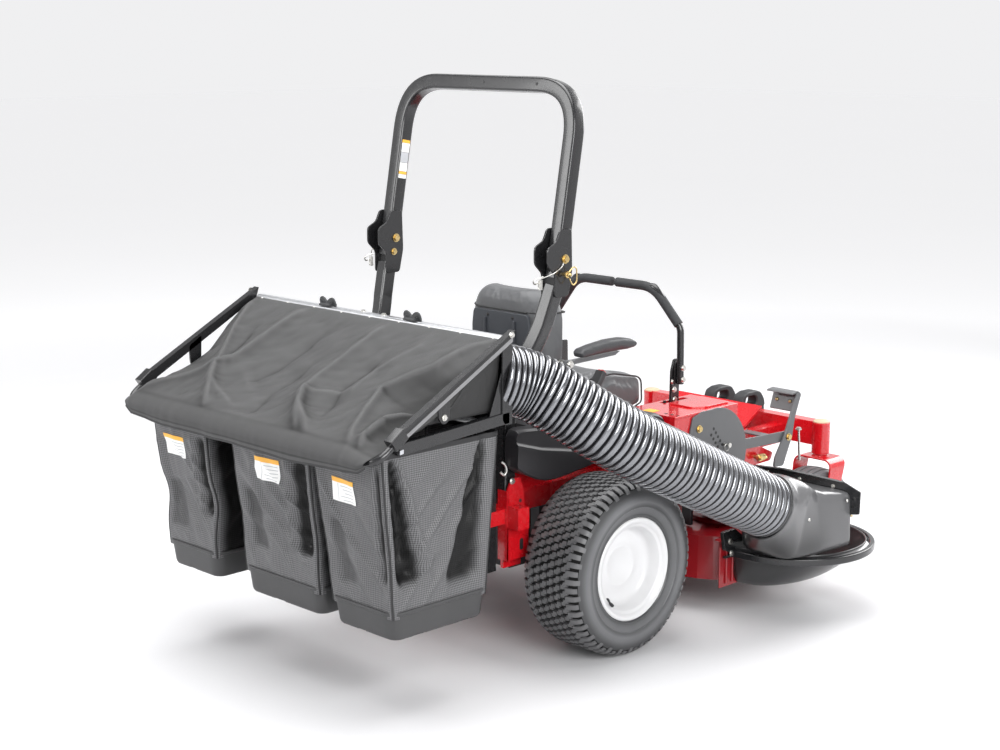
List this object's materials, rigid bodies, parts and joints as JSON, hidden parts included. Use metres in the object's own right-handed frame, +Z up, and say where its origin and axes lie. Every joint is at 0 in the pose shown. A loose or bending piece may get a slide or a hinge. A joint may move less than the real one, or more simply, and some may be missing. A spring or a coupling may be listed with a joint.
{
  "type": "zero turn mower with bagger",
  "caption": "Ride-on zero-turn mower with side discharge boot, ribbed suction hose and a hooded rear bag catcher.",
  "frame": {"origin": "bottom centre of the bounding box at rest, on the ground", "axes": "+X forwards, the machine's length; +Y to the operator's left; +Z up"},
  "size_m": [2.544, 1.6456, 1.8497],
  "materials": {
    "red": "gloss red paint",
    "black_steel": "satin black paint",
    "black_plastic": "black moulded plastic",
    "white_paint": "gloss white paint",
    "tyre": "black rubber",
    "rubber": "black rubber belt",
    "fabric": "woven black fabric",
    "vinyl": "dark grey vinyl over foam",
    "zinc": "zinc plated",
    "aluminium": "brushed",
    "cast_iron": "dark cast iron"
  },
  "bodies": {
    "chassis": {"main_frame": "red", "footplate": "red", "catcher_mount": "red", "engine_block": "cast_iron", "engine_cowl": "black_plastic", "muffler": "black_steel", "hydro_drive_axle": "cast_iron", "fuel_tank_left": "black_plastic", "fuel_tank_right": "black_plastic", "rops_upright_left": "black_steel", "rops_upright_right": "black_steel", "cut_height_plate": "black_steel", "pedal_stay": "black_steel", "front_weight_left": "cast_iron", "front_weight_right": "cast_iron", "suction_hose": "black_plastic", "catcher_frame": "black_steel", "hood_top_bar": "aluminium", "grass_bag_left": "fabric", "grass_bag_centre": "fabric", "grass_bag_right": "fabric"},
    "roll_hoop": {"rops_hoop": "black_steel"},
    "seat": {"seat_pan": "black_steel", "seat_cushion": "vinyl", "seat_backrest": "vinyl"},
    "height_pin": {"cut_height_pin": "zinc"},
    "pedal": {"lift_pedal": "black_steel"},
    "deck": {"deck_shell": "red", "deck_belt": "rubber", "discharge_boot": "black_plastic", "boot_bowl": "black_plastic", "boot_bumper": "black_steel"},
    "wing_knob": {"boot_wing_knob": "zinc"},
    "hood": {"hood_frame": "black_steel", "hood_fabric": "fabric"},
    "drive_wheel_left": {"drive_tyre_left": "tyre", "drive_rim_left": "white_paint"},
    "caster_left": {"caster_fork_left": "red"},
    "caster_wheel_left": {"caster_tyre_left": "tyre", "caster_hub_left": "white_paint"},
    "hoop_pin_left": {"rops_pin_left": "zinc"},
    "lever_base_left": {"lever_bracket_left": "black_steel"},
    "lever_left": {"steering_lever_left": "black_steel"},
    "arm_rest_left": {"armrest_left": "vinyl"},
    "drive_wheel_right": {"drive_tyre_right": "tyre", "drive_rim_right": "white_paint"},
    "caster_right": {"caster_fork_right": "red"},
    "caster_wheel_right": {"caster_tyre_right": "tyre", "caster_hub_right": "white_paint"},
    "hoop_pin_right": {"rops_pin_right": "zinc"},
    "lever_base_right": {"lever_bracket_right": "black_steel"},
    "lever_right": {"steering_lever_right": "black_steel"},
    "arm_rest_right": {"armrest_right": "vinyl"},
    "cutter_left": {"spindle_left": "cast_iron", "blade_left": "black_steel"},
    "cutter_centre": {"spindle_centre": "cast_iron", "blade_centre": "black_steel"},
    "cutter_right": {"spindle_right": "cast_iron", "blade_right": "black_steel"}
  },
  "joints": [
    {"name": "drive_wheel_left_spin", "type": "hinge", "parent": "chassis", "child": "drive_wheel_left", "pos_m": [-0.178, 0.66782, 0.29], "axis": [0, 1, 0], "continuous": true},
    {"name": "caster_left_swivel", "type": "hinge", "parent": "chassis", "child": "caster_left", "pos_m": [1.132, 0.56282, 0.419], "axis": [0, 0, 1], "continuous": true},
    {"name": "caster_wheel_left_spin", "type": "hinge", "parent": "caster_left", "child": "caster_wheel_left", "pos_m": [1.082, 0.56282, 0.185], "axis": [0, 1, 0], "continuous": true},
    {"name": "hoop_pin_left_pull", "type": "slide", "parent": "chassis", "child": "hoop_pin_left", "axis": [0, 1, 0], "range_m": [0, 0.05]},
    {"name": "lever_left_drive", "type": "hinge", "parent": "chassis", "child": "lever_base_left", "pos_m": [0.442, 0.41482, 0.668], "axis": [0, 1, 0], "range_deg": [-10, 14]},
    {"name": "lever_left_swing_out", "type": "hinge", "parent": "lever_base_left", "child": "lever_left", "pos_m": [0.442, 0.44282, 0.757], "axis": [-1, 0, 0], "range_deg": [0, 35]},
    {"name": "armrest_left_fold", "type": "hinge", "parent": "seat", "child": "arm_rest_left", "pos_m": [-0.074, 0.35782, 0.895], "axis": [0, 1, 0], "range_deg": [-95, 0]},
    {"name": "drive_wheel_right_spin", "type": "hinge", "parent": "chassis", "child": "drive_wheel_right", "pos_m": [-0.178, -0.38218, 0.29], "axis": [0, 1, 0], "continuous": true},
    {"name": "caster_right_swivel", "type": "hinge", "parent": "chassis", "child": "caster_right", "pos_m": [1.132, -0.27718, 0.419], "axis": [0, 0, 1], "continuous": true},
    {"name": "caster_wheel_right_spin", "type": "hinge", "parent": "caster_right", "child": "caster_wheel_right", "pos_m": [1.082, -0.27718, 0.185], "axis": [0, 1, 0], "continuous": true},
    {"name": "hoop_pin_right_pull", "type": "slide", "parent": "chassis", "child": "hoop_pin_right", "axis": [0, -1, 0], "range_m": [0, 0.05]},
    {"name": "lever_right_drive", "type": "hinge", "parent": "chassis", "child": "lever_base_right", "pos_m": [0.442, -0.12918, 0.668], "axis": [0, 1, 0], "range_deg": [-10, 14]},
    {"name": "lever_right_swing_out", "type": "hinge", "parent": "lever_base_right", "child": "lever_right", "pos_m": [0.442, -0.15718, 0.757], "axis": [1, 0, 0], "range_deg": [0, 35]},
    {"name": "armrest_right_fold", "type": "hinge", "parent": "seat", "child": "arm_rest_right", "pos_m": [-0.074, -0.07218, 0.895], "axis": [0, 1, 0], "range_deg": [-95, 0]},
    {"name": "hoop_fold", "type": "hinge", "parent": "chassis", "child": "roll_hoop", "pos_m": [-0.296, 0.14282, 1.285], "axis": [0, 1, 0], "range_deg": [-100, 0]},
    {"name": "seat_tilt", "type": "hinge", "parent": "chassis", "child": "seat", "pos_m": [0.322, 0.14282, 0.641], "axis": [0, 1, 0], "range_deg": [0, 22]},
    {"name": "deck_lift", "type": "slide", "parent": "chassis", "child": "deck", "axis": [0, 0, 1], "range_m": [0, 0.045], "deforming": ["suction_hose"]},
    {"name": "pedal_press", "type": "hinge", "parent": "chassis", "child": "pedal", "pos_m": [0.862, -0.32218, 0.535], "axis": [0, 1, 0], "range_deg": [0, 15.47]},
    {"name": "height_pin_pull", "type": "slide", "parent": "chassis", "child": "height_pin", "axis": [0, -1, 0], "range_m": [0, 0.03]},
    {"name": "wing_knob_turn", "type": "hinge", "parent": "deck", "child": "wing_knob", "pos_m": [0.637, -0.74118, 0.362], "axis": [1, 0, 0], "continuous": true},
    {"name": "hood_open", "type": "hinge", "parent": "chassis", "child": "hood", "pos_m": [-0.726, 0.14282, 1.12], "axis": [0, 1, 0], "range_deg": [0, 75]},
    {"name": "cutter_left_spin", "type": "hinge", "parent": "deck", "child": "cutter_left", "pos_m": [0.562, 0.54282, 0.2], "axis": [0, 0, 1], "continuous": true},
    {"name": "cutter_centre_spin", "type": "hinge", "parent": "deck", "child": "cutter_centre", "pos_m": [0.672, 0.14282, 0.2], "axis": [0, 0, 1], "continuous": true},
    {"name": "cutter_right_spin", "type": "hinge", "parent": "deck", "child": "cutter_right", "pos_m": [0.562, -0.25718, 0.2], "axis": [0, 0, 1], "continuous": true}
  ],
  "couplings": [
    {"joint": "pedal_press", "follows": "deck_lift", "rad_per_m": 6},
    {"joint": "cutter_left_spin", "follows": "cutter_centre_spin", "ratio": 1},
    {"joint": "cutter_right_spin", "follows": "cutter_centre_spin", "ratio": 1}
  ]
}
